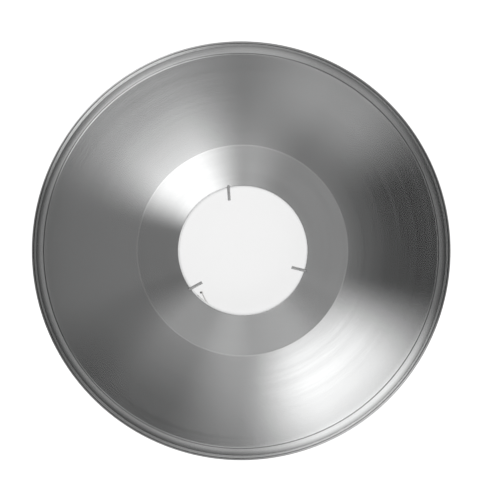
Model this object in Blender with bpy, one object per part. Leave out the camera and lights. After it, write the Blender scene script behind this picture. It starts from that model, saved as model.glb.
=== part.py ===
"""A spun aluminium flash reflector: a wide dish on a three-pin bayonet collar.

The optical axis is Z and the mouth faces +Z. The origin is the centre of the collar's
rear face, which the reflector stands on. Lengths below are in millimetres, angles in
degrees, and every mesh is scaled to metres when it is made.
"""

import math

import bmesh
import bpy

MM = 0.001
GAP = 0.3                     # running gap between pieces that touch

# Dish
RIM_RADIUS = 146.0            # over the rolled bead
SHEET = 1.0                   # thickness of the spun sheet
HOLE_RADIUS = 50.0            # inner wall of the turned-back neck
CREASE_RADIUS = 80.1          # where the back cone meets the outer wall
DISH_EDGE_RADIUS = 136.6      # top of the outer wall, where the lip starts
CONE_SLOPE = 25.0
WALL_SLOPE_LOW = 36.0
WALL_SLOPE_HIGH = 52.0
CONE_HEIGHT = 24.0            # height of the back cone's face, extended to HOLE_RADIUS
NECK_BOTTOM = 12.0
NECK_BEND = 1.5
CREASE_BEND = 1.0
LIP_BEND = 1.2
VALLEY_BEND = 0.6
VALLEY_TURN = 65.0
BEAD_RADIUS = 1.45
BEAD_TURN = 290.0
DISH_SEGMENTS = 64

# Collar
COLLAR_RADIUS = 60.0
COLLAR_BORE = HOLE_RADIUS + SHEET + GAP
POCKET_RADIUS = 53.5          # wider bore behind the neck, which holds the detent spring
POCKET_DEPTH = 11.0
COLLAR_CHAMFER = 0.8
GRIP_BAND = (5.0, 11.5)       # heights of the recessed grip band
GRIP_RECESS = 0.8
COLLAR_SEGMENTS = 64

# Bayonet pins: direction round the axis, and how far each one leans off the radius
PINS = ((-17.9, 4.0), (-144.0, -7.6), (102.6, -9.0))
PIN_RADIUS = 1.15
PIN_ENTRY = 51.0              # distance from the axis to the pin's own origin
PIN_INNER = 11.0              # from that origin in to the tip
PIN_OUTER = 11.8              # from that origin out to the threaded end
PIN_DROP = 0.53               # pin axis below CONE_HEIGHT
NUT_SEAT = 8.4                # spot face, out from the pin's origin
NUT_THICKNESS = 2.2
NUT_FLATS = 5.0
SPOT_RADIUS = 3.4

# Clamp screws that hold the collar on the neck
CLAMP_COUNT = 6
CLAMP_FIRST = 12.0
CLAMP_HEIGHT = 17.0
CLAMP_SHANK = 1.5
CLAMP_HEAD = 2.75
CLAMP_HEAD_HEIGHT = 3.0
CLAMP_SOCKET = 1.45
CLAMP_SOCKET_DEPTH = 1.6

# Detent spring: a formed leaf with a rolled eye, which flexes at its screwed end
SPRING_ROOT_RADIUS = 53.0
SPRING_ROOT_ANGLE = -108.3
SPRING_SHEET = 0.4
SPRING_BOTTOM = 1.2
SPRING_TOP = 10.2
SPRING_TAIL = 4.0
LEAF_RADIUS = 24.65
LEAF_TURN = 56.9
EYE_RADIUS = 1.0
EYE_TURN = 310.0
SPRING_SCREW_HEIGHTS = (3.4, 8.0)
SPRING_SCREW_SHANK = 1.2
SPRING_SCREW_HEAD = 1.9
SPRING_SCREW_HEAD_HEIGHT = 1.1
SPRING_SCREW_END = 57.9

HARDWARE_SIDES = 20


# ---------------------------------------------------------------- outlines

class Pen:
    """Draws an outline as straight runs and arcs, keeping its heading."""

    def __init__(self, x, y, heading):
        self.x = x
        self.y = y
        self.heading = math.radians(heading)
        self.points = [(x, y)]
        self.normals = [self.left()]

    def left(self):
        return (-math.sin(self.heading), math.cos(self.heading))

    def mark(self):
        self.points.append((self.x, self.y))
        self.normals.append(self.left())

    def line(self, length):
        self.x += length * math.cos(self.heading)
        self.y += length * math.sin(self.heading)
        self.mark()

    def arc(self, radius, turn, steps):
        """Turns left by a positive angle and right by a negative one."""
        side = math.copysign(radius, turn)
        for _ in range(steps):
            left_x, left_y = self.left()
            centre_x = self.x + side * left_x
            centre_y = self.y + side * left_y
            self.heading += math.radians(turn) / steps
            left_x, left_y = self.left()
            self.x = centre_x - side * left_x
            self.y = centre_y - side * left_y
            self.mark()

    def sheet(self, to_left, to_right):
        """The closed outline of a sheet that follows the path."""
        pairs = list(zip(self.points, self.normals))
        left_side = [(x + n * to_left, y + m * to_left) for (x, y), (n, m) in pairs]
        right_side = [(x - n * to_right, y - m * to_right) for (x, y), (n, m) in pairs]
        return left_side + right_side[::-1]


def cone_face(radius):
    """Height of the back cone's front face at a distance from the axis."""
    return CONE_HEIGHT + (radius - HOLE_RADIUS) * math.tan(math.radians(CONE_SLOPE))


def dish_outline():
    """Section of the spun sheet, drawn along its front face from the neck to the bead."""
    slope = math.radians(CONE_SLOPE)
    low = math.radians(WALL_SLOPE_LOW)
    high = math.radians(WALL_SLOPE_HIGH)
    bend_centre = HOLE_RADIUS + NECK_BEND
    bend_exit = bend_centre - NECK_BEND * math.sin(slope)
    neck_top = cone_face(bend_exit) - NECK_BEND * math.cos(slope)
    crease_half = CREASE_BEND * math.tan((low - slope) / 2)
    wall_start = CREASE_RADIUS + crease_half * math.cos(low)
    wall_radius = (DISH_EDGE_RADIUS - wall_start) / (math.sin(high) - math.sin(low))
    wall_turn = WALL_SLOPE_HIGH - WALL_SLOPE_LOW
    lip_start = DISH_EDGE_RADIUS + LIP_BEND * math.sin(high)
    valley = math.sin(math.radians(VALLEY_TURN)) * (VALLEY_BEND + BEAD_RADIUS)
    lip_end = RIM_RADIUS - BEAD_RADIUS - valley

    pen = Pen(HOLE_RADIUS, NECK_BOTTOM, 90.0)
    pen.line(neck_top - NECK_BOTTOM)
    pen.arc(NECK_BEND, CONE_SLOPE - 90.0, 3)
    pen.line((CREASE_RADIUS - bend_exit) / math.cos(slope) - crease_half)
    pen.arc(CREASE_BEND, WALL_SLOPE_LOW - CONE_SLOPE, 2)
    pen.arc(wall_radius, wall_turn, 6)
    pen.arc(LIP_BEND, -WALL_SLOPE_HIGH, 3)
    pen.line(lip_end - lip_start)
    pen.arc(VALLEY_BEND, VALLEY_TURN, 2)
    pen.arc(BEAD_RADIUS, -BEAD_TURN, 10)
    return pen.sheet(0.0, SHEET)


def collar_outline():
    """Section of the turned collar, whose front face is seated under the back cone."""
    def seat(radius):
        below = (SHEET + GAP) / math.cos(math.radians(CONE_SLOPE))
        return cone_face(radius) - below

    outer_top = COLLAR_RADIUS - COLLAR_CHAMFER
    inner_top = COLLAR_BORE + COLLAR_CHAMFER
    waist = COLLAR_RADIUS - GRIP_RECESS
    band_low, band_high = GRIP_BAND
    return [
        (POCKET_RADIUS + COLLAR_CHAMFER, 0.0),
        (COLLAR_RADIUS - COLLAR_CHAMFER, 0.0),
        (COLLAR_RADIUS, COLLAR_CHAMFER),
        (COLLAR_RADIUS, band_low),
        (waist, band_low + GRIP_RECESS),
        (waist, band_high - GRIP_RECESS),
        (COLLAR_RADIUS, band_high),
        (COLLAR_RADIUS, seat(outer_top) - COLLAR_CHAMFER),
        (outer_top, seat(outer_top)),
        (inner_top, seat(inner_top)),
        (COLLAR_BORE, seat(inner_top) - COLLAR_CHAMFER),
        (COLLAR_BORE, POCKET_DEPTH),
        (POCKET_RADIUS, POCKET_DEPTH),
        (POCKET_RADIUS, COLLAR_CHAMFER),
    ]


def spring_outline():
    """Plan of the leaf about its hinge line: X is outward, and the leaf runs to -Y."""
    tail_turn = math.degrees(SPRING_TAIL / SPRING_ROOT_RADIUS)
    centre = -SPRING_ROOT_RADIUS
    start = math.radians(tail_turn)
    start_x = centre + SPRING_ROOT_RADIUS * math.cos(start)
    start_y = SPRING_ROOT_RADIUS * math.sin(start)
    pen = Pen(start_x, start_y, -90.0 + tail_turn)
    pen.arc(SPRING_ROOT_RADIUS, -tail_turn, 3)
    pen.arc(LEAF_RADIUS, -LEAF_TURN, 10)
    pen.arc(EYE_RADIUS, EYE_TURN, 16)
    return pen.sheet(SPRING_SHEET / 2, SPRING_SHEET / 2)


# ---------------------------------------------------------------- meshes

def finish_mesh(name, bm):
    """Closes the mesh up in metres, with its faces pointing out."""
    bmesh.ops.recalc_face_normals(bm, faces=bm.faces)
    bmesh.ops.scale(bm, vec=(MM, MM, MM), verts=bm.verts)
    mesh = bpy.data.meshes.new(name)
    bm.to_mesh(mesh)
    bm.free()
    mesh.shade_smooth()
    mesh.set_sharp_from_angle(angle=math.radians(30))
    return mesh


def turned(name, outline, segments):
    """Turns an outline of (radius, height) points about Z. A radius of 0 is a pole."""
    bm = bmesh.new()
    columns = []
    for radius, height in outline:
        if radius == 0.0:
            columns.append([bm.verts.new((0.0, 0.0, height))] * segments)
            continue
        ring = []
        for step in range(segments):
            angle = 2 * math.pi * step / segments
            place = (radius * math.cos(angle), radius * math.sin(angle), height)
            ring.append(bm.verts.new(place))
        columns.append(ring)
    for index, column in enumerate(columns):
        following = columns[(index + 1) % len(columns)]
        for step in range(segments):
            after = (step + 1) % segments
            corners = [column[step], column[after], following[after], following[step]]
            corners = list(dict.fromkeys(corners))
            if len(corners) > 2:
                bm.faces.new(corners)
    return finish_mesh(name, bm)


def prism(name, outline, low, high):
    """Raises a flat outline of (x, y) points from one height to another."""
    bm = bmesh.new()
    floor = [bm.verts.new((x, y, low)) for x, y in outline]
    bottom = bm.faces.new(floor)
    raised = bmesh.ops.extrude_face_region(bm, geom=[bottom])["geom"]
    top = [item for item in raised if isinstance(item, bmesh.types.BMVert)]
    bmesh.ops.translate(bm, verts=top, vec=(0.0, 0.0, high - low))
    return finish_mesh(name, bm)


def polygon(radius, sides, first=0.0):
    """Corners of a regular polygon."""
    turns = [math.radians(first) + 2 * math.pi * step / sides for step in range(sides)]
    return [(radius * math.cos(turn), radius * math.sin(turn)) for turn in turns]


def hexagon(flats):
    """A hexagon of the given width across its flats, with flats towards +X and -X."""
    return polygon(flats / math.sqrt(3), 6, first=30.0)


def material(name, color, roughness, metallic):
    surface = bpy.data.materials.new(name)
    surface.use_nodes = True
    shader = surface.node_tree.nodes["Principled BSDF"]
    shader.inputs["Base Color"].default_value = (*color, 1.0)
    shader.inputs["Roughness"].default_value = roughness
    shader.inputs["Metallic"].default_value = metallic
    return surface


def add(name, mesh, surface, parent):
    """Adds one named sub-part under the reflector's empty."""
    piece = bpy.data.objects.new(name, mesh)
    piece.data.materials.clear()
    piece.data.materials.append(surface)
    bpy.context.scene.collection.objects.link(piece)
    piece.parent = parent
    return piece


def point_outwards(piece, radius, angle, height, lean=0.0):
    """Lays a piece's own Z along a radius, with its origin at the given place."""
    turn = math.radians(angle)
    piece.location = (radius * MM * math.cos(turn), radius * MM * math.sin(turn), height * MM)
    piece.rotation_euler = (0.0, math.pi / 2, math.radians(angle + lean))


def cut(piece, cutter):
    """Cuts a wire-drawn guide out of a piece."""
    cutter.hide_render = True
    cutter.display_type = "WIRE"
    step = piece.modifiers.new("cut_" + cutter.name, "BOOLEAN")
    step.operation = "DIFFERENCE"
    step.solver = "EXACT"
    step.object = cutter


def drill(name, radius, low, high, surface, parent):
    """A round cutter along its own Z."""
    mesh = prism(name, polygon(radius, HARDWARE_SIDES, first=9.0), low, high)
    return add(name, mesh, surface, parent)


# ---------------------------------------------------------------- sub-parts

def make_dish(surface, parent):
    mesh = turned("reflector_dish", dish_outline(), DISH_SEGMENTS)
    return add("reflector_dish", mesh, surface, parent)


def make_collar(surface, parent):
    mesh = turned("mounting_collar", collar_outline(), COLLAR_SEGMENTS)
    return add("mounting_collar", mesh, surface, parent)


def make_pin(number, angle, lean, dish, collar, steel, zinc, parent):
    """A bayonet pin in its groove, with the nut that locks it outside the collar."""
    height = CONE_HEIGHT - PIN_DROP
    chamfer = 0.35
    tip = -PIN_INNER
    outline = [
        (0.0, tip),
        (PIN_RADIUS - chamfer, tip),
        (PIN_RADIUS, tip + chamfer),
        (PIN_RADIUS, PIN_OUTER - chamfer),
        (PIN_RADIUS - chamfer, PIN_OUTER),
        (0.0, PIN_OUTER),
    ]
    pin = add(f"bayonet_pin_{number}", turned("pin", outline, HARDWARE_SIDES), steel, parent)
    groove = drill(f"pin_groove_{number}", PIN_RADIUS + GAP, -5.0, PIN_OUTER, steel, parent)
    seat = drill(f"nut_seat_{number}", SPOT_RADIUS, NUT_SEAT, NUT_SEAT + 6.0, steel, parent)

    nut_low = NUT_SEAT + GAP
    nut_mesh = prism("pin_nut", hexagon(NUT_FLATS), nut_low, nut_low + NUT_THICKNESS)
    nut = add(f"pin_nut_{number}", nut_mesh, zinc, parent)
    bore = drill(f"nut_bore_{number}", PIN_RADIUS + GAP, NUT_SEAT - 1.0, PIN_OUTER + 1.0, zinc, parent)

    for piece in (pin, groove, seat, nut, bore):
        point_outwards(piece, PIN_ENTRY, angle, height, lean)
    cut(dish, groove)
    cut(collar, groove)
    cut(collar, seat)
    cut(nut, bore)


def make_clamp_screw(number, collar, zinc, parent):
    """A socket-head screw whose tip bears on the dish's neck."""
    head_low = COLLAR_RADIUS + GAP
    head_high = head_low + CLAMP_HEAD_HEIGHT
    tip = HOLE_RADIUS + SHEET + GAP
    edge = 0.3
    outline = [
        (0.0, tip),
        (CLAMP_SHANK - edge, tip),
        (CLAMP_SHANK, tip + edge),
        (CLAMP_SHANK, head_low),
        (CLAMP_HEAD, head_low),
        (CLAMP_HEAD, head_high - edge),
        (CLAMP_HEAD - edge, head_high),
        (0.0, head_high),
    ]
    screw = add(f"clamp_screw_{number}", turned("clamp_screw", outline, HARDWARE_SIDES), zinc, parent)
    socket_mesh = prism("socket", hexagon(2 * CLAMP_SOCKET), head_high - CLAMP_SOCKET_DEPTH, head_high + 1.0)
    socket = add(f"clamp_socket_{number}", socket_mesh, zinc, parent)
    hole = drill(f"clamp_hole_{number}", CLAMP_SHANK + GAP, tip - 1.0, head_low + 1.0, zinc, parent)
    angle = CLAMP_FIRST + (number - 1) * 360.0 / CLAMP_COUNT
    for piece in (screw, socket, hole):
        point_outwards(piece, 0.0, angle, CLAMP_HEIGHT)
    cut(screw, socket)
    cut(collar, hole)


def make_spring(surface, parent):
    """The detent spring, with its origin on the line that it flexes about."""
    mesh = prism("detent_spring", spring_outline(), SPRING_BOTTOM, SPRING_TOP)
    spring = add("detent_spring", mesh, surface, parent)
    turn = math.radians(SPRING_ROOT_ANGLE)
    reach = SPRING_ROOT_RADIUS * MM
    spring.location = (reach * math.cos(turn), reach * math.sin(turn), 0.0)
    spring.rotation_euler = (0.0, 0.0, turn)
    return spring


def make_spring_screw(number, height, spring, collar, zinc, parent):
    """A low-headed screw through the spring's root into a blind hole in the collar."""
    under_head = SPRING_ROOT_RADIUS - SPRING_SHEET / 2 - GAP
    top = under_head - SPRING_SCREW_HEAD_HEIGHT
    crown = 0.4
    outline = [
        (0.0, top),
        (SPRING_SCREW_HEAD - 2 * crown, top),
        (SPRING_SCREW_HEAD, top + crown),
        (SPRING_SCREW_HEAD, under_head),
        (SPRING_SCREW_SHANK, under_head),
        (SPRING_SCREW_SHANK, SPRING_SCREW_END),
        (0.0, SPRING_SCREW_END),
    ]
    screw = add(f"spring_screw_{number}", turned("spring_screw", outline, HARDWARE_SIDES), zinc, parent)
    radius = SPRING_SCREW_SHANK + GAP
    hole = drill(f"spring_hole_{number}", radius, under_head - 1.0, SPRING_SCREW_END + GAP, zinc, parent)
    for piece in (screw, hole):
        point_outwards(piece, 0.0, SPRING_ROOT_ANGLE, height)
    cut(spring, hole)
    cut(collar, hole)


def main():
    for old in list(bpy.data.objects):
        bpy.data.objects.remove(old)

    reflector = bpy.data.objects.new("reflector", None)
    bpy.context.scene.collection.objects.link(reflector)

    spun = material("spun_aluminium", (0.66, 0.66, 0.67), 0.30, 1.0)
    machined = material("machined_aluminium", (0.60, 0.60, 0.61), 0.35, 1.0)
    steel = material("pin_steel", (0.70, 0.70, 0.70), 0.25, 1.0)
    zinc = material("zinc_steel", (0.55, 0.56, 0.58), 0.35, 1.0)
    leaf = material("spring_steel", (0.58, 0.57, 0.55), 0.30, 1.0)

    dish = make_dish(spun, reflector)
    collar = make_collar(machined, reflector)
    spring = make_spring(leaf, reflector)
    for number, (angle, lean) in enumerate(PINS, start=1):
        make_pin(number, angle, lean, dish, collar, steel, zinc, reflector)
    for number in range(1, CLAMP_COUNT + 1):
        make_clamp_screw(number, collar, zinc, reflector)
    for number, height in enumerate(SPRING_SCREW_HEIGHTS, start=1):
        make_spring_screw(number, height, spring, collar, zinc, reflector)


main()
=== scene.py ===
"""Looks of a spun aluminium flash reflector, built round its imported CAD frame.

The optical axis is Z, the mouth faces +Z, and the origin is the centre of the collar's
rear face. Outlines are drawn in millimetres and angles in degrees. Every mesh is scaled
to metres when it is added.
"""

import math

import bmesh
import bpy
from mathutils import Matrix, Vector


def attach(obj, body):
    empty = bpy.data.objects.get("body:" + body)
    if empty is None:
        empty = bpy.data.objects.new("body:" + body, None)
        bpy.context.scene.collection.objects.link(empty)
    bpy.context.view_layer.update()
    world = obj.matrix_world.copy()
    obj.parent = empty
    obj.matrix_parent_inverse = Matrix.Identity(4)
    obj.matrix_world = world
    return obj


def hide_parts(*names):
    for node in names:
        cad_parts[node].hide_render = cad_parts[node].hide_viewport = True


MM = 0.001
AXIS_STEPS = 256              # facets round the dish
ROUND_STEPS = 40              # facets round a screw or a pin
GAP = 0.3                     # running gap between pieces that touch

# Section of the dish
RIM_RADIUS = 146.0
SHEET = 1.0
HOLE_RADIUS = 50.0
CREASE_RADIUS = 80.1
DISH_EDGE_RADIUS = 136.6
CONE_SLOPE = 25.0
WALL_SLOPE_LOW = 36.0
WALL_SLOPE_HIGH = 52.0
CONE_HEIGHT = 24.0
NECK_BOTTOM = 12.0
NECK_BEND = 1.5
CREASE_BEND = 1.0
LIP_BEND = 1.2
LIP_FALL = 23.0               # the lip leans outwards by this slope at the fold
VALLEY_BEND = 0.6
VALLEY_TURN = 65.0
BEAD_RADIUS = 1.45
BEAD_TURN = 290.0

# Section of the collar
COLLAR_RADIUS = 60.0
COLLAR_BORE = HOLE_RADIUS + SHEET + GAP
POCKET_RADIUS = 53.5
POCKET_DEPTH = 11.0
COLLAR_CHAMFER = 0.8
GRIP_BAND = (5.0, 11.5)
GRIP_RECESS = 0.8
GRIP_RIDGES = 140
GRIP_RIDGE_HEIGHT = 0.55

# Bayonet pins: direction round the axis, and how far each one leans off the radius
PINS = ((-17.9, 4.0), (-144.0, -7.6), (102.6, -9.0))
PIN_RADIUS = 1.15
PIN_ENTRY = 51.0
PIN_INNER = 11.0
PIN_OUTER = 11.8
PIN_HEIGHT = CONE_HEIGHT - 0.53
PIN_THREAD_FROM = 6.0
PIN_PITCH = 0.45
GROOVE_RADIUS = PIN_RADIUS + GAP
NUT_SEAT = 8.4
NUT_THICKNESS = 2.2
NUT_FLATS = 5.0
SPOT_RADIUS = 3.4

# Clamp screws
CLAMP_COUNT = 6
CLAMP_FIRST = 12.0
CLAMP_HEIGHT = 17.0
CLAMP_SHANK = 1.5
CLAMP_HEAD = 2.75
CLAMP_HEAD_HEIGHT = 3.0
CLAMP_SOCKET_FLATS = 2.9
CLAMP_SOCKET_DEPTH = 1.6
CLAMP_PITCH = 0.5
CLAMP_FLUTES = 30

# Detent spring and its screws
SPRING_ROOT_RADIUS = 53.0
SPRING_ROOT_ANGLE = -108.3
SPRING_SHEET = 0.4
SPRING_BOTTOM = 1.2
SPRING_TOP = 10.2
SPRING_TAIL = 4.0
LEAF_RADIUS = 24.65
LEAF_TURN = 56.9
EYE_RADIUS = 1.0
EYE_TURN = 360.0
EYE_CORE = 0.45                # radius that the rolled eye closes in to
LEAF_THICKNESS = 0.3
SPRING_SCREW_HEIGHTS = (3.4, 8.0)
SPRING_SCREW_SHANK = 1.2
SPRING_SCREW_HEAD = 1.9
SPRING_SCREW_HEAD_HEIGHT = 1.1
SPRING_SCREW_END = 57.9
SPRING_SCREW_PITCH = 0.4

# Camera, in metres
CAMERA_LENS = 61.6
CAMERA_PLACE = (0.0155, 0.0032, 0.688)
CAMERA_AIM = (0.0067, 0.0007, 0.094)

# Spun sheet: colours and roughness
SPUN_LIGHT = (0.855, 0.86, 0.86)
SPUN_DARK = (0.81, 0.815, 0.815)
SPUN_STAIN = (0.76, 0.76, 0.76)
# colour of the painted highlight laid along the crease
CREASE_PAINTED_HIGHLIGHT = (0.97, 0.97, 0.97)
SPUN_ROUGH = 0.19
LIP_ROUGH = 0.24
# nearly non-metallic, so that the pins' whitish colour shows as painted light
PIN_METALLIC = 0.1
LIP_MIDDLE = 140.2
# painted shade on the bead: how far its colour is darkened, and to what grey
BEAD_SHADE_AMOUNT = 0.35
BEAD_SHADE_GREY = (0.42, 0.42, 0.42)

# Studio light, as radiance
FLOOR_LEVEL = 1.0
FLOOR_SHADE_LEVEL = 0.78
FLOOR_THROW = 0.2
FLOOR_SHADE_INNER = 0.055
FLOOR_SHADE_OUTER = 0.14
WORLD_LEVEL = 0.01
BACKDROP_LEVEL = 1.0
# Light panels, in degrees. Every side edge has the same feather, and a top or
# bottom edge is either firm or soft. Each panel: azimuth, half width, top and bottom below
# the zenith, fade of those two edges, and radiance
PANEL_FEATHER = 30
FIRM = 10
SOFT = 45
PANELS = {
    "key": (305, 25, 20, 65, SOFT, 1.3),
    "key_halo": (320, 70, 30, 90, FIRM, 0.2),
    "opposite": (130, 25, 65, 90, FIRM, 1.5),
    "side": (60, 25, 20, 70, SOFT, 0.4),
    "left": (210, 65, 35, 65, FIRM, 0.35),
    "low": (235, 20, 75, 90, FIRM, 0.7),
    "upper": (110, 30, 10, 85, FIRM, 0.4),
}


# ---------------------------------------------------------------- outlines

class Pen:
    """Draws an outline as straight runs and arcs, keeping its heading."""

    def __init__(self, x, y, heading):
        self.x = x
        self.y = y
        self.heading = math.radians(heading)
        self.points = [(x, y)]
        self.normals = [self.left()]

    def left(self):
        return (-math.sin(self.heading), math.cos(self.heading))

    def mark(self):
        self.points.append((self.x, self.y))
        self.normals.append(self.left())

    def line(self, length, steps=1):
        for _ in range(steps):
            self.x += length / steps * math.cos(self.heading)
            self.y += length / steps * math.sin(self.heading)
            self.mark()

    def arc(self, radius, turn, steps):
        """Turns left by a positive angle and right by a negative one."""
        side = math.copysign(radius, turn)
        for _ in range(steps):
            left_x, left_y = self.left()
            centre_x = self.x + side * left_x
            centre_y = self.y + side * left_y
            self.heading += math.radians(turn) / steps
            left_x, left_y = self.left()
            self.x = centre_x - side * left_x
            self.y = centre_y - side * left_y
            self.mark()

    def sheet(self, to_left, to_right):
        """The closed outline of a sheet that follows the path."""
        pairs = list(zip(self.points, self.normals))
        left_side = [(x + n * to_left, y + m * to_left) for (x, y), (n, m) in pairs]
        right_side = [(x - n * to_right, y - m * to_right) for (x, y), (n, m) in pairs]
        return left_side + right_side[::-1]


def rounded(corners, radius, steps=3):
    """Rounds every corner of a closed outline with a small arc-like fillet."""
    points = []
    count = len(corners)
    for index, corner in enumerate(corners):
        here = Vector(corner)
        before = Vector(corners[index - 1]) - here
        after = Vector(corners[(index + 1) % count]) - here
        reach = min(radius, before.length * 0.45, after.length * 0.45)
        start = here + before.normalized() * reach
        end = here + after.normalized() * reach
        for step in range(steps + 1):
            t = step / steps
            point = start * (1 - t) ** 2 + here * (2 * t * (1 - t)) + end * t ** 2
            points.append((point.x, point.y))
    return points


def cone_face(radius):
    """Height of the back cone's front face at a distance from the axis."""
    return CONE_HEIGHT + (radius - HOLE_RADIUS) * math.tan(math.radians(CONE_SLOPE))


def dish_outline():
    """Section of the spun sheet, drawn along its front face from the neck to the bead."""
    slope = math.radians(CONE_SLOPE)
    low = math.radians(WALL_SLOPE_LOW)
    high = math.radians(WALL_SLOPE_HIGH)
    bend_centre = HOLE_RADIUS + NECK_BEND
    bend_exit = bend_centre - NECK_BEND * math.sin(slope)
    neck_top = cone_face(bend_exit) - NECK_BEND * math.cos(slope)
    crease_half = CREASE_BEND * math.tan((low - slope) / 2)
    wall_start = CREASE_RADIUS + crease_half * math.cos(low)
    wall_radius = (DISH_EDGE_RADIUS - wall_start) / (math.sin(high) - math.sin(low))
    wall_turn = WALL_SLOPE_HIGH - WALL_SLOPE_LOW
    fall = math.sin(math.radians(LIP_FALL))
    lip_start = DISH_EDGE_RADIUS + LIP_BEND * (math.sin(high) + fall)
    valley = math.sin(math.radians(VALLEY_TURN)) * (VALLEY_BEND + BEAD_RADIUS)
    lip_end = RIM_RADIUS - BEAD_RADIUS - valley

    pen = Pen(HOLE_RADIUS, NECK_BOTTOM, 90.0)
    pen.line(neck_top - NECK_BOTTOM, 4)
    pen.arc(NECK_BEND, CONE_SLOPE - 90.0, 8)
    pen.line((CREASE_RADIUS - bend_exit) / math.cos(slope) - crease_half, 8)
    pen.arc(CREASE_BEND, WALL_SLOPE_LOW - CONE_SLOPE, 6)
    pen.arc(wall_radius, wall_turn, 24)
    pen.arc(LIP_BEND, -LIP_FALL - WALL_SLOPE_HIGH, 12)
    pen.arc((lip_end - lip_start) / fall, LIP_FALL, 12)
    pen.arc(VALLEY_BEND, VALLEY_TURN, 6)
    pen.arc(BEAD_RADIUS, -BEAD_TURN, 32)
    return pen.sheet(0.0, SHEET)


def collar_outline():
    """Section of the turned collar, whose front face is seated under the back cone."""
    def seat(radius):
        below = (SHEET + GAP) / math.cos(math.radians(CONE_SLOPE))
        return cone_face(radius) - below

    outer_top = COLLAR_RADIUS - COLLAR_CHAMFER
    inner_top = COLLAR_BORE + COLLAR_CHAMFER
    waist = COLLAR_RADIUS - GRIP_RECESS
    band_low, band_high = GRIP_BAND
    return rounded([
        (POCKET_RADIUS + COLLAR_CHAMFER, 0.0),
        (COLLAR_RADIUS - COLLAR_CHAMFER, 0.0),
        (COLLAR_RADIUS, COLLAR_CHAMFER),
        (COLLAR_RADIUS, band_low),
        (waist, band_low + GRIP_RECESS),
        (waist, band_high - GRIP_RECESS),
        (COLLAR_RADIUS, band_high),
        (COLLAR_RADIUS, seat(outer_top) - COLLAR_CHAMFER),
        (outer_top, seat(outer_top)),
        (inner_top, seat(inner_top)),
        (COLLAR_BORE, seat(inner_top) - COLLAR_CHAMFER),
        (COLLAR_BORE, POCKET_DEPTH),
        (POCKET_RADIUS, POCKET_DEPTH),
        (POCKET_RADIUS, COLLAR_CHAMFER),
    ], 0.2)


def spring_outline():
    """Plan of the leaf about its hinge line: X is outward, and the leaf runs to -Y."""
    tail_turn = math.degrees(SPRING_TAIL / SPRING_ROOT_RADIUS)
    centre = -SPRING_ROOT_RADIUS
    start = math.radians(tail_turn)
    start_x = centre + SPRING_ROOT_RADIUS * math.cos(start)
    start_y = SPRING_ROOT_RADIUS * math.sin(start)
    pen = Pen(start_x, start_y, -90.0 + tail_turn)
    pen.arc(SPRING_ROOT_RADIUS, -tail_turn, 6)
    pen.arc(LEAF_RADIUS, -LEAF_TURN, 30)
    pen.arc(EYE_RADIUS, EYE_TURN, 36)
    return pen.sheet(SPRING_SHEET / 2, SPRING_SHEET / 2)


# ---------------------------------------------------------------- meshes

def add(name, bm, surface, body="reflector", place=None, sharp=40.0):
    """Adds a piece drawn in millimetres, and lets it ride on a body."""
    bmesh.ops.recalc_face_normals(bm, faces=bm.faces)
    bmesh.ops.scale(bm, vec=(MM, MM, MM), verts=bm.verts)
    mesh = bpy.data.meshes.new(name)
    bm.to_mesh(mesh)
    bm.free()
    mesh.shade_smooth()
    mesh.set_sharp_from_angle(angle=math.radians(sharp))
    mesh.materials.append(surface)
    piece = bpy.data.objects.new(name, mesh)
    bpy.context.scene.collection.objects.link(piece)
    if place is not None:
        piece.matrix_world = place
    if body is not None:
        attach(piece, body)
    return piece


def grid_of_rings(rings):
    """Joins rings of points, each the same length, into a closed tube of faces."""
    bm = bmesh.new()
    columns = [[bm.verts.new(point) for point in ring] for ring in rings]
    count = len(columns[0])
    for index, column in enumerate(columns):
        following = columns[(index + 1) % len(columns)]
        for step in range(count):
            after = (step + 1) % count
            bm.faces.new([column[step], column[after], following[after], following[step]])
    return bm


def turned(outline, segments, relief=None):
    """Turns a closed outline of (radius, height) points about Z.

    relief(radius, height, angle) gives what is added to the radius at a point, for
    ridges and threads.
    """
    rings = []
    for radius, height in outline:
        ring = []
        for step in range(segments):
            angle = 2 * math.pi * step / segments
            reach = radius + (relief(radius, height, angle) if relief else 0.0)
            ring.append((reach * math.cos(angle), reach * math.sin(angle), height))
        rings.append(ring)
    return grid_of_rings(rings)


def turned_solid(outline, segments, relief=None):
    """Turns an open outline about Z and closes both ends with a fan of faces."""
    bm = bmesh.new()
    rings = []
    for radius, height in outline:
        ring = []
        for step in range(segments):
            angle = 2 * math.pi * step / segments
            reach = radius + (relief(radius, height, angle) if relief else 0.0)
            ring.append(bm.verts.new((reach * math.cos(angle), reach * math.sin(angle), height)))
        rings.append(ring)
    for ring, following in zip(rings, rings[1:]):
        for step in range(segments):
            after = (step + 1) % segments
            bm.faces.new([ring[step], ring[after], following[after], following[step]])
    for ring, (_, height) in ((rings[0], outline[0]), (rings[-1], outline[-1])):
        middle = bm.verts.new((0.0, 0.0, height))
        for step in range(segments):
            bm.faces.new([ring[step], ring[(step + 1) % segments], middle])
    return bm


def prism(outline, low, high):
    """Raises a flat outline of (x, y) points from one height to another."""
    bm = bmesh.new()
    floor = [bm.verts.new((x, y, low)) for x, y in outline]
    bottom = bm.faces.new(floor)
    raised = bmesh.ops.extrude_face_region(bm, geom=[bottom])["geom"]
    top = [item for item in raised if isinstance(item, bmesh.types.BMVert)]
    bmesh.ops.translate(bm, verts=top, vec=(0.0, 0.0, high - low))
    return bm


def polygon(radius, sides, first=0.0):
    """Corners of a regular polygon."""
    turns = [math.radians(first) + 2 * math.pi * step / sides for step in range(sides)]
    return [(radius * math.cos(turn), radius * math.sin(turn)) for turn in turns]


def hexagon(flats):
    """A hexagon of the given width across its flats, with flats towards +X and -X."""
    return polygon(flats / math.sqrt(3), 6, first=30.0)


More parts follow.
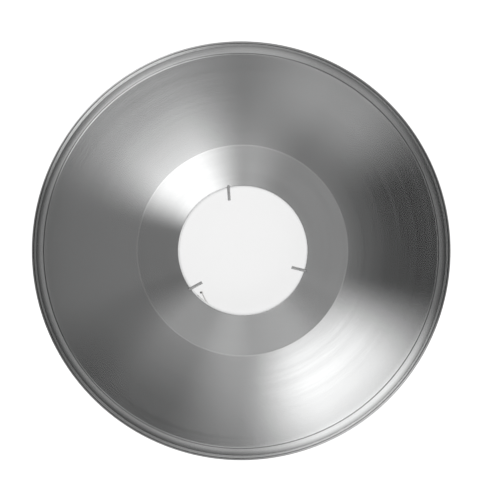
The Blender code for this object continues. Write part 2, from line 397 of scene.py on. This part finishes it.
def outwards(radius, angle, height, lean=0.0):
    """The place that lays a piece's own Z along a radius, with its origin there."""
    turn = math.radians(angle)
    spot = Vector((radius * math.cos(turn), radius * math.sin(turn), height)) * MM
    heading = Matrix.Rotation(math.radians(angle + lean), 4, "Z")
    return Matrix.Translation(spot) @ heading @ Matrix.Rotation(math.pi / 2, 4, "Y")


def cut(piece, cutters, operation="DIFFERENCE", sharp=40.0):
    """Cuts meshes out of a piece, bakes the result into its mesh and drops the cutters."""
    for cutter in cutters:
        step = piece.modifiers.new("cut", "BOOLEAN")
        step.operation = operation
        step.solver = "EXACT"
        step.object = cutter
    bpy.context.view_layer.update()
    baked = piece.evaluated_get(bpy.context.evaluated_depsgraph_get())
    mesh = bpy.data.meshes.new_from_object(baked)
    piece.modifiers.clear()
    piece.data = mesh
    mesh.name = piece.name
    mesh.shade_smooth()
    mesh.set_sharp_from_angle(angle=math.radians(sharp))
    for cutter in cutters:
        bpy.data.objects.remove(cutter)


def cutter(bm, place, surface):
    return add("cutter", bm, surface, body=None, place=place)


def drill(radius, low, high, place, surface):
    """A round cutter along its own Z."""
    return cutter(prism(polygon(radius, ROUND_STEPS, first=4.5), low, high), place, surface)


def thread_steps(low, high, pitch, per_turn=8):
    """Heights close enough together to carry a thread of the given pitch."""
    count = max(2, round((high - low) / pitch * per_turn))
    return [low + (high - low) * step / count for step in range(count + 1)]


def thread_relief(radius, low, high, pitch):
    """A V thread between two heights, which runs out over its last turn."""
    depth = 0.32 * pitch

    def relief(reach, height, angle):
        if abs(reach - radius) > 0.01 or not low <= height <= high:
            return 0.0
        phase = (height / pitch - angle / (2 * math.pi)) % 1.0
        fade = min(1.0, (height - low) / pitch, (high - height) / pitch)
        return -depth * abs(2 * phase - 1) * fade

    return relief


# ---------------------------------------------------------------- materials

class Wiring:
    """A node tree under construction, with short calls for the nodes it is wired from."""

    def __init__(self, tree):
        self.tree = tree

    def feed(self, socket, value):
        if isinstance(value, bpy.types.NodeSocket):
            self.tree.links.new(value, socket)
        elif value is not None:
            socket.default_value = value

    def math(self, operation, first, second=None, clamp=False):
        node = self.tree.nodes.new("ShaderNodeMath")
        node.operation = operation
        node.use_clamp = clamp
        self.feed(node.inputs[0], first)
        self.feed(node.inputs[1], second)
        return node.outputs[0]

    def split(self, vector):
        node = self.tree.nodes.new("ShaderNodeSeparateXYZ")
        self.feed(node.inputs[0], vector)
        return node.outputs

    def join(self, x, y, z):
        node = self.tree.nodes.new("ShaderNodeCombineXYZ")
        for socket, value in zip(node.inputs, (x, y, z)):
            self.feed(socket, value)
        return node.outputs[0]

    def scaled(self, vector, factors):
        node = self.tree.nodes.new("ShaderNodeVectorMath")
        node.operation = "MULTIPLY"
        self.feed(node.inputs[0], vector)
        node.inputs[1].default_value = factors
        return node.outputs[0]

    def noise(self, vector, scale, detail=3.0, roughness=0.5):
        node = self.tree.nodes.new("ShaderNodeTexNoise")
        self.feed(node.inputs["Vector"], vector)
        node.inputs["Scale"].default_value = scale
        node.inputs["Detail"].default_value = detail
        node.inputs["Roughness"].default_value = roughness
        return node.outputs["Fac"]

    def cells(self, vector, scale):
        node = self.tree.nodes.new("ShaderNodeTexVoronoi")
        self.feed(node.inputs["Vector"], vector)
        node.inputs["Scale"].default_value = scale
        return node.outputs["Distance"]

    def spread(self, value, low, high, to_low, to_high, soft=False):
        """Maps a range on to another one, and holds its ends."""
        node = self.tree.nodes.new("ShaderNodeMapRange")
        node.interpolation_type = "SMOOTHSTEP" if soft else "LINEAR"
        self.feed(node.inputs["Value"], value)
        node.inputs["From Min"].default_value = low
        node.inputs["From Max"].default_value = high
        node.inputs["To Min"].default_value = to_low
        node.inputs["To Max"].default_value = to_high
        return node.outputs["Result"]

    def mix(self, factor, first, second):
        node = self.tree.nodes.new("ShaderNodeMix")
        node.data_type = "RGBA"
        self.feed(node.inputs["Factor"], factor)
        for name, colour in (("A", first), ("B", second)):
            socket = [s for s in node.inputs if s.name == name and s.type == "RGBA"][0]
            self.feed(socket, (*colour, 1.0) if isinstance(colour, tuple) else colour)
        return [s for s in node.outputs if s.type == "RGBA"][0]

    def bump(self, height, distance, strength=1.0, under=None):
        node = self.tree.nodes.new("ShaderNodeBump")
        node.inputs["Strength"].default_value = strength
        node.inputs["Distance"].default_value = distance
        self.feed(node.inputs["Height"], height)
        self.feed(node.inputs["Normal"], under)
        return node.outputs["Normal"]


class Nodes(Wiring):
    """A metal's material, which reads its place on the object in metres."""

    def __init__(self, name, metallic=1.0, anisotropic=0.0, rotation=0.0):
        self.surface = bpy.data.materials.new(name)
        self.surface.use_nodes = True
        super().__init__(self.surface.node_tree)
        self.shader = self.tree.nodes["Principled BSDF"]
        self.shader.inputs["Metallic"].default_value = metallic
        self.shader.inputs["Anisotropic"].default_value = anisotropic
        self.shader.inputs["Anisotropic Rotation"].default_value = rotation
        position = self.tree.nodes.new("ShaderNodeTexCoord")
        self.position = position.outputs["Object"]

    def tangent_round_axis(self, axis="Z"):
        node = self.tree.nodes.new("ShaderNodeTangent")
        node.direction_type = "RADIAL"
        node.axis = axis
        self.feed(self.shader.inputs["Tangent"], node.outputs["Tangent"])

    def edges(self, radius):
        """1 on a sharp outer edge and 0 on a flat or hollow face."""
        geometry = self.tree.nodes.new("ShaderNodeNewGeometry")
        return self.spread(geometry.outputs["Pointiness"], 0.5 + radius * 0.2, 0.5 + radius, 0.0, 1.0)

    def reach(self):
        """Distance from the Z axis."""
        x, y, _ = self.split(self.position)
        return self.math("SQRT", self.math("ADD", self.math("MULTIPLY", x, x), self.math("MULTIPLY", y, y)))

    def turning_lines(self, pitch, stretch=1.5):
        """Fine lines round the axis: quick across them, and slow along them."""
        x, y, z = self.split(self.position)
        reach = self.reach()
        safe = self.math("MAXIMUM", reach, 1e-5)
        across = self.math("DIVIDE", self.math("ADD", reach, z), pitch)
        round_x = self.math("MULTIPLY", self.math("DIVIDE", x, safe), stretch)
        round_y = self.math("MULTIPLY", self.math("DIVIDE", y, safe), stretch)
        return self.join(round_x, round_y, across)

    def done(self, colour, roughness, normal=None):
        self.feed(self.shader.inputs["Base Color"], colour)
        self.feed(self.shader.inputs["Roughness"], roughness)
        self.feed(self.shader.inputs["Normal"], normal)
        return self.surface


def spun_aluminium():
    """Satin spun sheet: fine lines round the axis smear a reflection along the radius.

    A painted highlight brightens the colour along the crease, the lip has a coarser grain, and painted shade darkens
    the bead's colour.
    """
    nodes = Nodes("spun_aluminium", anisotropic=1.0, rotation=0.25)
    nodes.tangent_round_axis()
    fine = nodes.noise(nodes.turning_lines(0.0004), 1.0, detail=4.0, roughness=0.65)
    broad = nodes.noise(nodes.turning_lines(0.004, 0.8), 1.0, detail=2.0)
    cloud = nodes.noise(nodes.position, 28.0, detail=3.0)
    tint = nodes.mix(nodes.spread(fine, 0.3, 0.7, 0.0, 1.0), SPUN_DARK, SPUN_LIGHT)
    handled = nodes.math("MULTIPLY", nodes.spread(cloud, 0.55, 0.75, 0.0, 0.5), fine)
    colour = nodes.mix(handled, tint, SPUN_STAIN)
    # Painted highlight: a bright line of colour along the crease stands in for light caught there.
    off_crease = nodes.math("ABSOLUTE", nodes.math("SUBTRACT", nodes.reach(), CREASE_RADIUS * MM))
    crease_highlight = nodes.spread(off_crease, 0.0, 0.0007, 1.0, 0.0, soft=True)
    colour = nodes.mix(crease_highlight, colour, CREASE_PAINTED_HIGHLIGHT)
    rough = nodes.math("ADD", nodes.spread(fine, 0.25, 0.75, SPUN_ROUGH - 0.02, SPUN_ROUGH + 0.02),
                       nodes.spread(broad, 0.3, 0.7, -0.01, 0.01))
    off_lip = nodes.math("ABSOLUTE", nodes.math("SUBTRACT", nodes.reach(), LIP_MIDDLE * MM))
    lip = nodes.spread(off_lip, 0.0024, 0.0030, LIP_ROUGH - SPUN_ROUGH, 0.0, soft=True)
    rough = nodes.math("ADD", rough, lip)
    # Painted shade: the bead's colour is darkened towards grey.
    bead = nodes.spread(nodes.reach(), (LIP_MIDDLE + 2.6) * MM, (LIP_MIDDLE + 3.8) * MM, 0.0, BEAD_SHADE_AMOUNT)
    colour = nodes.mix(bead, colour, BEAD_SHADE_GREY)
    return nodes.done(colour, rough, nodes.bump(fine, 0.0000003, 0.5))


def machined_aluminium():
    """Turned bar: even tool marks, and bright worn edges."""
    nodes = Nodes("machined_aluminium", anisotropic=0.7, rotation=0.25)
    nodes.tangent_round_axis()
    marks = nodes.noise(nodes.turning_lines(0.00022, 0.6), 1.0, detail=2.0)
    cloud = nodes.noise(nodes.position, 60.0, detail=4.0)
    worn = nodes.edges(0.06)
    tint = nodes.mix(nodes.spread(marks, 0.3, 0.7, 0.0, 1.0), (0.50, 0.50, 0.515), (0.62, 0.62, 0.63))
    dulled = nodes.mix(nodes.spread(cloud, 0.5, 0.8, 0.0, 0.45), tint, (0.42, 0.42, 0.43))
    colour = nodes.mix(worn, dulled, (0.80, 0.80, 0.81))
    rough = nodes.math("ADD", nodes.spread(marks, 0.3, 0.7, 0.28, 0.40),
                       nodes.spread(cloud, 0.4, 0.8, 0.0, 0.10))
    return nodes.done(colour, rough, nodes.bump(marks, 0.00001, 0.8))


def pin_steel():
    """Whitish, almost non-metallic steel, as painted light for the front light on the pins: faint lines round the
    rod, and duller patches.
    """
    nodes = Nodes("pin_steel", metallic=PIN_METALLIC)
    rings = nodes.noise(nodes.scaled(nodes.position, (0.2, 0.2, 1.0)), 9000.0, detail=2.0)
    cloud = nodes.noise(nodes.position, 420.0, detail=3.0)
    # Painted light: whitish colours stand in for the front light falling on the steel pins.
    tint = nodes.mix(nodes.spread(rings, 0.3, 0.7, 0.0, 1.0), (0.90, 0.90, 0.90), (0.97, 0.97, 0.97))
    colour = nodes.mix(nodes.spread(cloud, 0.55, 0.8, 0.0, 0.5), tint, (0.84, 0.84, 0.83))
    rough = nodes.spread(cloud, 0.3, 0.8, 0.48, 0.58)
    return nodes.done(colour, rough, nodes.bump(rings, 0.000008, 0.4))


def zinc_steel():
    """Zinc plate: spangled and slightly blue, with yellow in places and bright edges."""
    nodes = Nodes("zinc_steel", anisotropic=0.2)
    spangle = nodes.cells(nodes.position, 1500.0)
    cloud = nodes.noise(nodes.position, 260.0, detail=4.0)
    marks = nodes.noise(nodes.scaled(nodes.position, (1.0, 1.0, 0.25)), 2500.0, detail=3.0)
    tint = nodes.mix(nodes.spread(spangle, 0.0, 0.9, 0.0, 1.0), (0.50, 0.52, 0.56), (0.64, 0.65, 0.68))
    warm = nodes.mix(nodes.spread(cloud, 0.5, 0.72, 0.0, 0.55), tint, (0.62, 0.60, 0.50))
    colour = nodes.mix(nodes.edges(0.08), warm, (0.78, 0.78, 0.79))
    rough = nodes.math("ADD", nodes.spread(cloud, 0.3, 0.8, 0.26, 0.42),
                       nodes.spread(marks, 0.3, 0.7, -0.04, 0.04))
    return nodes.done(colour, rough, nodes.bump(marks, 0.00001, 0.5))


def spring_steel():
    """Tempered strip: lengthwise rolling grain, and straw to grey temper colours."""
    nodes = Nodes("spring_steel", anisotropic=0.6)
    nodes.tangent_round_axis()
    grain = nodes.noise(nodes.scaled(nodes.position, (0.12, 0.12, 1.0)), 5200.0, detail=3.0)
    temper = nodes.noise(nodes.position, 150.0, detail=3.0)
    tint = nodes.mix(nodes.spread(grain, 0.3, 0.7, 0.0, 1.0), (0.56, 0.55, 0.54), (0.70, 0.69, 0.67))
    colour = nodes.mix(nodes.spread(temper, 0.45, 0.75, 0.0, 0.6), tint, (0.60, 0.55, 0.46))
    colour = nodes.mix(nodes.edges(0.08), colour, (0.66, 0.65, 0.63))
    rough = nodes.spread(grain, 0.3, 0.7, 0.26, 0.38)
    return nodes.done(colour, rough, nodes.bump(grain, 0.00001, 0.6))


# ---------------------------------------------------------------- pieces

def rod(radius, low, high, edge, between=()):
    """Outline of a round rod with rounded ends, along Z."""
    points = []
    for step in range(5):
        turn = math.pi / 2 * step / 4
        points.append((radius - edge + edge * math.sin(turn), low + edge - edge * math.cos(turn)))
    points += [(radius, height) for height in between if low + edge < height < high - edge]
    for step in range(5):
        turn = math.pi / 2 * step / 4
        points.append((radius - edge + edge * math.cos(turn), high - edge + edge * math.sin(turn)))
    return points


def finished(piece, slot, *nodes):
    """Hides the CAD nodes that a piece stands for. The piece and its slot are not used."""
    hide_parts(*nodes)


def pin_place(angle, lean):
    return outwards(PIN_ENTRY, angle, PIN_HEIGHT, lean)


def make_dish(surface):
    dish = add("dish", turned(dish_outline(), AXIS_STEPS), surface)
    grooves = [drill(GROOVE_RADIUS, -5.0, PIN_OUTER, pin_place(*pin), surface) for pin in PINS]
    cut(dish, grooves)
    finished(dish, "spun_aluminium", "reflector_dish")
    return dish


def grip_relief(radius, height, angle):
    """Straight ridges round the recessed grip band."""
    if abs(radius - (COLLAR_RADIUS - GRIP_RECESS)) > 0.12 or height < GRIP_BAND[0]:
        return 0.0
    return GRIP_RIDGE_HEIGHT * (0.5 + 0.5 * math.cos(GRIP_RIDGES * angle))


def make_collar(surface):
    collar = add("collar", turned(collar_outline(), 4 * GRIP_RIDGES, grip_relief), surface)
    cutters = []
    for pin in PINS:
        cutters.append(drill(GROOVE_RADIUS, -5.0, PIN_OUTER, pin_place(*pin), surface))
        cutters.append(drill(SPOT_RADIUS, NUT_SEAT, NUT_SEAT + 6.0, pin_place(*pin), surface))
    for index in range(CLAMP_COUNT):
        place = outwards(0.0, CLAMP_FIRST + index * 360.0 / CLAMP_COUNT, CLAMP_HEIGHT)
        cutters.append(drill(CLAMP_SHANK + GAP, COLLAR_BORE - 1.0, COLLAR_RADIUS + 1.0, place, surface))
    for height in SPRING_SCREW_HEIGHTS:
        place = outwards(0.0, SPRING_ROOT_ANGLE, height)
        cutters.append(drill(SPRING_SCREW_SHANK + GAP, 51.0, SPRING_SCREW_END + GAP, place, surface))
    cut(collar, cutters)
    finished(collar, "machined_aluminium", "mounting_collar")
    return collar


def make_pins(steel, zinc):
    thread = thread_steps(PIN_THREAD_FROM, PIN_OUTER, PIN_PITCH)
    relief = thread_relief(PIN_RADIUS, PIN_THREAD_FROM, PIN_OUTER, PIN_PITCH)
    nut_low = NUT_SEAT + GAP
    nut_high = nut_low + NUT_THICKNESS
    corner = NUT_FLATS / math.sqrt(3) + 0.05
    face = NUT_FLATS / 2 * 0.95
    bore = PIN_RADIUS + 0.05
    for number, pin in enumerate(PINS, start=1):
        place = pin_place(*pin)
        outline = rod(PIN_RADIUS, -PIN_INNER, PIN_OUTER, 0.35, thread)
        piece = add(f"pin_{number}", turned_solid(outline, ROUND_STEPS, relief), steel, place=place)
        finished(piece, "pin_steel", f"bayonet_pin_{number}")

        nut = add(f"nut_{number}", prism(hexagon(NUT_FLATS), nut_low, nut_high), zinc, place=place)
        barrel = [(face, nut_low), (corner, nut_low + 0.3), (corner, nut_high - 0.3), (face, nut_high)]
        cut(nut, [cutter(turned_solid(barrel, ROUND_STEPS), place, zinc)], "INTERSECT", sharp=25.0)
        sunk = [(bore + 0.6, nut_low - 0.3), (bore, nut_low + 0.3), (bore, nut_high - 0.3),
                (bore + 0.6, nut_high + 0.3)]
        cut(nut, [cutter(turned_solid(sunk, ROUND_STEPS), place, zinc)], sharp=25.0)
        finished(nut, "zinc_steel", f"pin_nut_{number}")


def clamp_screw_mesh():
    head_low = COLLAR_RADIUS + GAP
    head_high = head_low + CLAMP_HEAD_HEIGHT
    tip = HOLE_RADIUS + SHEET + GAP
    edge = 0.3
    thread = thread_relief(CLAMP_SHANK, tip, head_low - 1.0, CLAMP_PITCH)

    def relief(radius, height, angle):
        if abs(radius - CLAMP_HEAD) < 0.01 and head_low + 0.4 < height:
            return -0.1 * (0.5 + 0.5 * math.cos(CLAMP_FLUTES * angle))
        return thread(radius, height, angle)

    outline = [(CLAMP_SHANK - edge, tip)]
    outline += [(CLAMP_SHANK, height) for height in thread_steps(tip + edge, head_low - 1.0, CLAMP_PITCH, 6)]
    outline += [(CLAMP_SHANK, head_low), (CLAMP_HEAD - 0.1, head_low), (CLAMP_HEAD, head_low + 0.1)]
    outline += [(CLAMP_HEAD, head_low + 0.5), (CLAMP_HEAD, head_high - edge - 0.1)]
    outline += [(CLAMP_HEAD - edge + edge * math.cos(turn), head_high - edge + edge * math.sin(turn))
                for turn in (math.pi / 8, math.pi / 4, 3 * math.pi / 8, math.pi / 2)]
    return turned_solid(outline, 2 * CLAMP_FLUTES, relief)


def make_clamp_screws(zinc):
    """Knurled socket-head screws, all from one mesh."""
    top = COLLAR_RADIUS + GAP + CLAMP_HEAD_HEIGHT
    bottom = top - CLAMP_SOCKET_DEPTH
    flats = CLAMP_SOCKET_FLATS / 2
    first = None
    for index in range(CLAMP_COUNT):
        place = outwards(0.0, CLAMP_FIRST + index * 360.0 / CLAMP_COUNT, CLAMP_HEIGHT)
        name = f"screw_{index + 1}"
        if first is None:
            first = add(name, clamp_screw_mesh(), zinc, place=place, sharp=30.0)
            mouth = [(flats * 0.9, top - 0.25), (flats + 0.75, top + 0.4)]
            drilled = [(flats * 0.97, bottom + 0.1), (0.05, bottom - 0.5)]
            cut(first, [
                cutter(prism(hexagon(CLAMP_SOCKET_FLATS), bottom, top + 1.0), place, zinc),
                cutter(turned_solid(mouth, ROUND_STEPS), place, zinc),
                cutter(turned_solid(drilled, ROUND_STEPS), place, zinc),
            ], sharp=30.0)
            screw = first
        else:
            screw = bpy.data.objects.new(name, first.data.copy())
            bpy.context.scene.collection.objects.link(screw)
            screw.matrix_world = place
            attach(screw, "reflector")
        finished(screw, "zinc_steel", f"clamp_screw_{index + 1}")


def make_spring(surface):
    """The formed leaf: a strip with rounded edges, rolled into an eye at its free end."""
    tail_turn = math.degrees(SPRING_TAIL / SPRING_ROOT_RADIUS)
    start = math.radians(tail_turn)
    pen = Pen(SPRING_ROOT_RADIUS * (math.cos(start) - 1.0), SPRING_ROOT_RADIUS * math.sin(start),
              tail_turn - 90.0)
    pen.arc(SPRING_ROOT_RADIUS, -tail_turn, 10)
    pen.arc(LEAF_RADIUS, -LEAF_TURN, 36)
    for turn in range(3):
        pen.arc(EYE_RADIUS + (EYE_CORE - EYE_RADIUS) * turn / 2, EYE_TURN, 36)
    half = LEAF_THICKNESS / 2
    section = rounded([(-half, SPRING_BOTTOM), (half, SPRING_BOTTOM), (half, SPRING_TOP), (-half, SPRING_TOP)], 0.12)
    bm = bmesh.new()
    rings = []
    for (x, y), (n, m) in zip(pen.points, pen.normals):
        rings.append([bm.verts.new((x + n * off, y + m * off, height)) for off, height in section])
    count = len(section)
    for ring, following in zip(rings, rings[1:]):
        for step in range(count):
            after = (step + 1) % count
            bm.faces.new([ring[step], ring[after], following[after], following[step]])
    bm.faces.new(rings[0])
    bm.faces.new(rings[-1])

    turn = math.radians(SPRING_ROOT_ANGLE)
    reach = SPRING_ROOT_RADIUS * MM
    root = Vector((reach * math.cos(turn), reach * math.sin(turn), 0.0))
    place = Matrix.Translation(root) @ Matrix.Rotation(turn, 4, "Z")
    spring = add("spring", bm, surface, body="detent", place=place)
    cut(spring, [
        drill(SPRING_SCREW_SHANK + GAP, SPRING_ROOT_RADIUS - 2.0, SPRING_ROOT_RADIUS + 2.0,
              outwards(0.0, SPRING_ROOT_ANGLE, height), surface)
        for height in SPRING_SCREW_HEIGHTS
    ])
    finished(spring, "spring_steel", "detent_spring")


def make_spring_screws(zinc):
    """Low domed heads with a slot, threaded into the collar."""
    under_head = SPRING_ROOT_RADIUS - SPRING_SHEET / 2 - GAP
    top = under_head - SPRING_SCREW_HEAD_HEIGHT
    crown = 0.6
    for number, height in enumerate(SPRING_SCREW_HEIGHTS, start=1):
        place = outwards(0.0, SPRING_ROOT_ANGLE, height)
        relief = thread_relief(SPRING_SCREW_SHANK, under_head + 0.4, SPRING_SCREW_END, SPRING_SCREW_PITCH)
        outline = []
        for step in range(1, 9):
            turn = math.pi / 2 * step / 8
            outline.append((SPRING_SCREW_HEAD * math.sin(turn), top + crown * (1 - math.cos(turn))))
        outline += [(SPRING_SCREW_HEAD, under_head), (SPRING_SCREW_SHANK, under_head)]
        outline += [(SPRING_SCREW_SHANK, along)
                    for along in thread_steps(under_head + 0.4, SPRING_SCREW_END, SPRING_SCREW_PITCH)]
        name = f"spring_screw_head_{number}"
        screw = add(name, turned_solid(outline, ROUND_STEPS, relief), zinc, place=place, sharp=30.0)
        slot = [(-0.25, -2.2), (0.25, -2.2), (0.25, 2.2), (-0.25, 2.2)]
        cut(screw, [cutter(prism(slot, top - 1.0, top + 0.55), place, zinc)], sharp=30.0)
        finished(screw, "zinc_steel", f"spring_screw_{number}")


# ---------------------------------------------------------------- stage

def add_camera():
    """Looks down into the mouth, with the picture's up along Y."""
    data = bpy.data.cameras.new("camera")
    data.sensor_width = 36.0
    data.lens = CAMERA_LENS
    camera = bpy.data.objects.new("camera", data)
    camera.location = CAMERA_PLACE
    aim = Vector(CAMERA_AIM)
    back = (camera.location - aim).normalized()
    right = Vector((0.0, 1.0, 0.0)).cross(back).normalized()
    up = back.cross(right)
    camera.rotation_euler = Matrix((right, up, back)).transposed().to_euler()
    bpy.context.scene.collection.objects.link(camera)
    bpy.context.scene.camera = camera


def add_floor():
    """A white table top, lit from below, which throws less light on the metal than it shows."""
    bm = bmesh.new()
    bmesh.ops.create_grid(bm, x_segments=1, y_segments=1, size=4.0)
    mesh = bpy.data.meshes.new("floor")
    bm.to_mesh(mesh)
    bm.free()
    floor = bpy.data.objects.new("floor", mesh)
    nodes = Nodes("floor_white", metallic=0.0)
    near = nodes.spread(nodes.reach(), FLOOR_SHADE_INNER, FLOOR_SHADE_OUTER, 1.0, 0.0, soft=True)
    shown = nodes.spread(near, 0.0, 1.0, FLOOR_LEVEL, FLOOR_SHADE_LEVEL)
    thrown = nodes.spread(near, 0.0, 1.0, FLOOR_THROW, FLOOR_SHADE_LEVEL)
    seen = nodes.tree.nodes.new("ShaderNodeLightPath").outputs["Is Camera Ray"]
    glow = nodes.math("ADD", nodes.math("MULTIPLY", seen, shown),
                      nodes.math("MULTIPLY", nodes.math("SUBTRACT", 1.0, seen), thrown))
    nodes.shader.inputs["Emission Color"].default_value = (1.0, 1.0, 1.0, 1.0)
    nodes.feed(nodes.shader.inputs["Emission Strength"], glow)
    grain = nodes.noise(nodes.position, 40.0, detail=2.0)
    shade = nodes.mix(grain, (0.30, 0.30, 0.30), (0.32, 0.32, 0.32))
    mesh.materials.append(nodes.done(shade, 0.9))
    bpy.context.scene.collection.objects.link(floor)


def add_studio_light():
    """A dark studio with soft-edged light panels round the object, set in the world.

    The camera itself sees a plain pale backdrop instead of the panels.
    """
    world = bpy.data.worlds.new("studio")
    world.use_nodes = True
    bpy.context.scene.world = world
    nodes = Wiring(world.node_tree)
    heading = nodes.tree.nodes.new("ShaderNodeTexCoord").outputs["Generated"]
    x, y, z = nodes.split(heading)
    down = nodes.math("MULTIPLY", nodes.math("ARCCOSINE", z), 180 / math.pi)
    flat = nodes.math("SQRT", nodes.math("SUBTRACT", 1.0, nodes.math("MULTIPLY", z, z)))
    flat = nodes.math("MAXIMUM", flat, 1e-4)
    total = WORLD_LEVEL
    for azimuth, half, top, bottom, fade, radiance in PANELS.values():
        turn = math.radians(azimuth)
        along = nodes.math("ADD", nodes.math("MULTIPLY", x, math.cos(turn)),
                           nodes.math("MULTIPLY", y, math.sin(turn)))
        off = nodes.math("ARCCOSINE", nodes.math("DIVIDE", along, flat))
        off = nodes.math("MULTIPLY", off, 180 / math.pi)
        across = nodes.spread(off, half - PANEL_FEATHER / 2, half + PANEL_FEATHER / 2,
                              radiance, 0.0, soft=True)
        above = nodes.spread(down, top - fade / 2, top + fade / 2, 0.0, 1.0, soft=True)
        below = nodes.spread(down, bottom - fade / 2, bottom + fade / 2, 1.0, 0.0, soft=True)
        panel = nodes.math("MULTIPLY", across, nodes.math("MULTIPLY", above, below))
        total = nodes.math("ADD", total, panel)
    seen = nodes.tree.nodes.new("ShaderNodeLightPath").outputs["Is Camera Ray"]
    plain = nodes.math("MULTIPLY", seen, BACKDROP_LEVEL)
    lit = nodes.math("MULTIPLY", nodes.math("SUBTRACT", 1.0, seen), total)
    background = nodes.tree.nodes["Background"]
    background.inputs["Color"].default_value = (1.0, 1.0, 1.0, 1.0)
    nodes.feed(background.inputs["Strength"], nodes.math("ADD", plain, lit))


# ---------------------------------------------------------------- scene

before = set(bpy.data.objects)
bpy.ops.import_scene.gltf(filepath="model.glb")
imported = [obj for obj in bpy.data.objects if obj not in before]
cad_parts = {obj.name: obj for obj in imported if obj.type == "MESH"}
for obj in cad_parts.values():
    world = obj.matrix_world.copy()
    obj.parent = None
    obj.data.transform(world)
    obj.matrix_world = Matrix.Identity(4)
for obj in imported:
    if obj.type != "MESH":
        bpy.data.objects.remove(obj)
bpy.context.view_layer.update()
bpy.context.scene.view_settings.view_transform = "Standard"

add_camera()
add_floor()
add_studio_light()

spun = spun_aluminium()
machined = machined_aluminium()
ground = pin_steel()
zinc = zinc_steel()
tempered = spring_steel()

make_dish(spun)
make_collar(machined)
make_pins(ground, zinc)
make_clamp_screws(zinc)
make_spring(tempered)
make_spring_screws(zinc)
